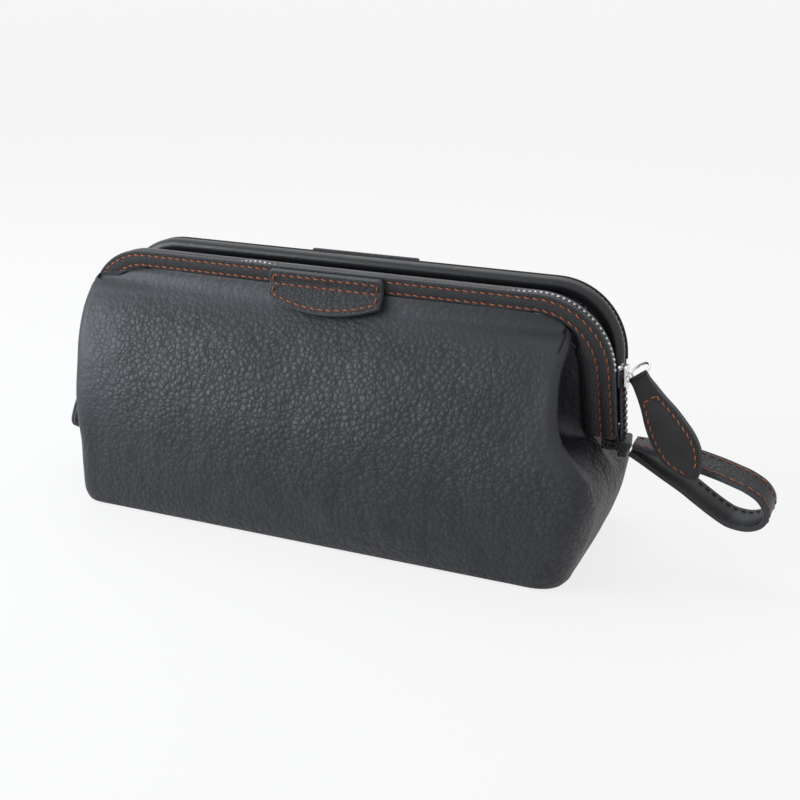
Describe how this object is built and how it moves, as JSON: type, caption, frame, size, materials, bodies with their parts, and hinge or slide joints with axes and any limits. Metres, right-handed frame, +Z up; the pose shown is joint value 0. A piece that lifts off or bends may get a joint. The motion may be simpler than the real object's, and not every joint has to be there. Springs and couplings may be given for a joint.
{
  "type": "toiletry bag",
  "caption": "Framed leather toiletry bag with a wide zipped mouth on two hinged bows, a leaf-shaped zip pull, a wrist strap and sewn opening tabs.",
  "frame": {"origin": "centre of the base, on the surface that the bag stands on", "axes": "+X along the bag's length towards the end with the wrist strap, -Y towards the front, +Z up"},
  "size_m": [0.3845, 0.1068, 0.1295],
  "materials": {
    "grained_leather": "pebbled, semi-matt",
    "smooth_leather": "smooth, semi-matt",
    "lining_cloth": "woven, matt",
    "zip_tape": "woven tape",
    "board": "plain stiffener board",
    "frame_steel": "plain tube",
    "rivet_steel": "plain",
    "zip_teeth": "polished nickel",
    "bright_metal": "polished nickel"
  },
  "bodies": {
    "bag": {"base_panel": "grained_leather", "base_board": "board", "base_lining": "lining_cloth", "front_panel": "grained_leather", "rear_panel": "grained_leather", "front_lining": "lining_cloth", "rear_lining": "lining_cloth", "zip_tail_teeth": "zip_teeth", "right_hinge_rivet": "rivet_steel", "right_hinge_cover": "grained_leather", "right_zip_tail_tape": "zip_tape", "right_anchor": "grained_leather", "left_hinge_rivet": "rivet_steel", "left_hinge_cover": "grained_leather", "left_zip_tail_tape": "zip_tape", "left_anchor": "grained_leather"},
    "front_frame": {"front_bow": "frame_steel", "front_bow_sleeve": "smooth_leather", "front_zip_tape": "zip_tape", "front_rim_band": "grained_leather", "front_zip_teeth": "zip_teeth", "front_tab": "grained_leather"},
    "rear_frame": {"rear_bow": "frame_steel", "rear_bow_sleeve": "smooth_leather", "rear_zip_tape": "zip_tape", "rear_rim_band": "grained_leather", "rear_zip_teeth": "zip_teeth", "rear_tab": "grained_leather"},
    "slider": {"slider": "bright_metal"},
    "ring": {"pull_ring": "bright_metal"},
    "pull": {"pull_leaf": "grained_leather"},
    "strap": {"strap_outer": "grained_leather", "strap_lining": "smooth_leather"},
    "end_tab": {"left_tab_outer": "grained_leather", "left_tab_inner": "smooth_leather"}
  },
  "joints": [
    {"name": "front_frame_hinge", "type": "hinge", "parent": "bag", "child": "front_frame", "pos_m": [0, 0, 0.061], "axis": [1, 0, 0], "range_deg": [-4, 43], "deforming": ["front_panel", "front_lining"]},
    {"name": "rear_frame_hinge", "type": "hinge", "parent": "bag", "child": "rear_frame", "pos_m": [0, 0, 0.061], "axis": [-1, 0, 0], "range_deg": [-8, 39], "deforming": ["rear_panel", "rear_lining"]},
    {"name": "slider_slide", "type": "slide", "parent": "bag", "child": "slider", "axis": [-0.0773, 0, 0.997], "range_m": [0, 0.008]},
    {"name": "ring_hinge", "type": "hinge", "parent": "slider", "child": "ring", "pos_m": [0.13939, 0, 0.08969], "axis": [0.1827, -0.9539, -0.2379], "range_deg": [-12, 12]},
    {"name": "pull_hinge", "type": "hinge", "parent": "ring", "child": "pull", "pos_m": [0.14446, -0.00496, 0.09162], "axis": [0.7926, -0.0003, 0.6098], "range_deg": [-15, 3]},
    {"name": "strap_hinge", "type": "hinge", "parent": "bag", "child": "strap", "pos_m": [0.14315, 0, 0.0571], "axis": [0, 1, 0], "range_deg": [-15, 12]},
    {"name": "end_tab_hinge", "type": "hinge", "parent": "bag", "child": "end_tab", "pos_m": [-0.143, 0, 0.0571], "axis": [0, 1, 0], "range_deg": [-20, 20]}
  ]
}
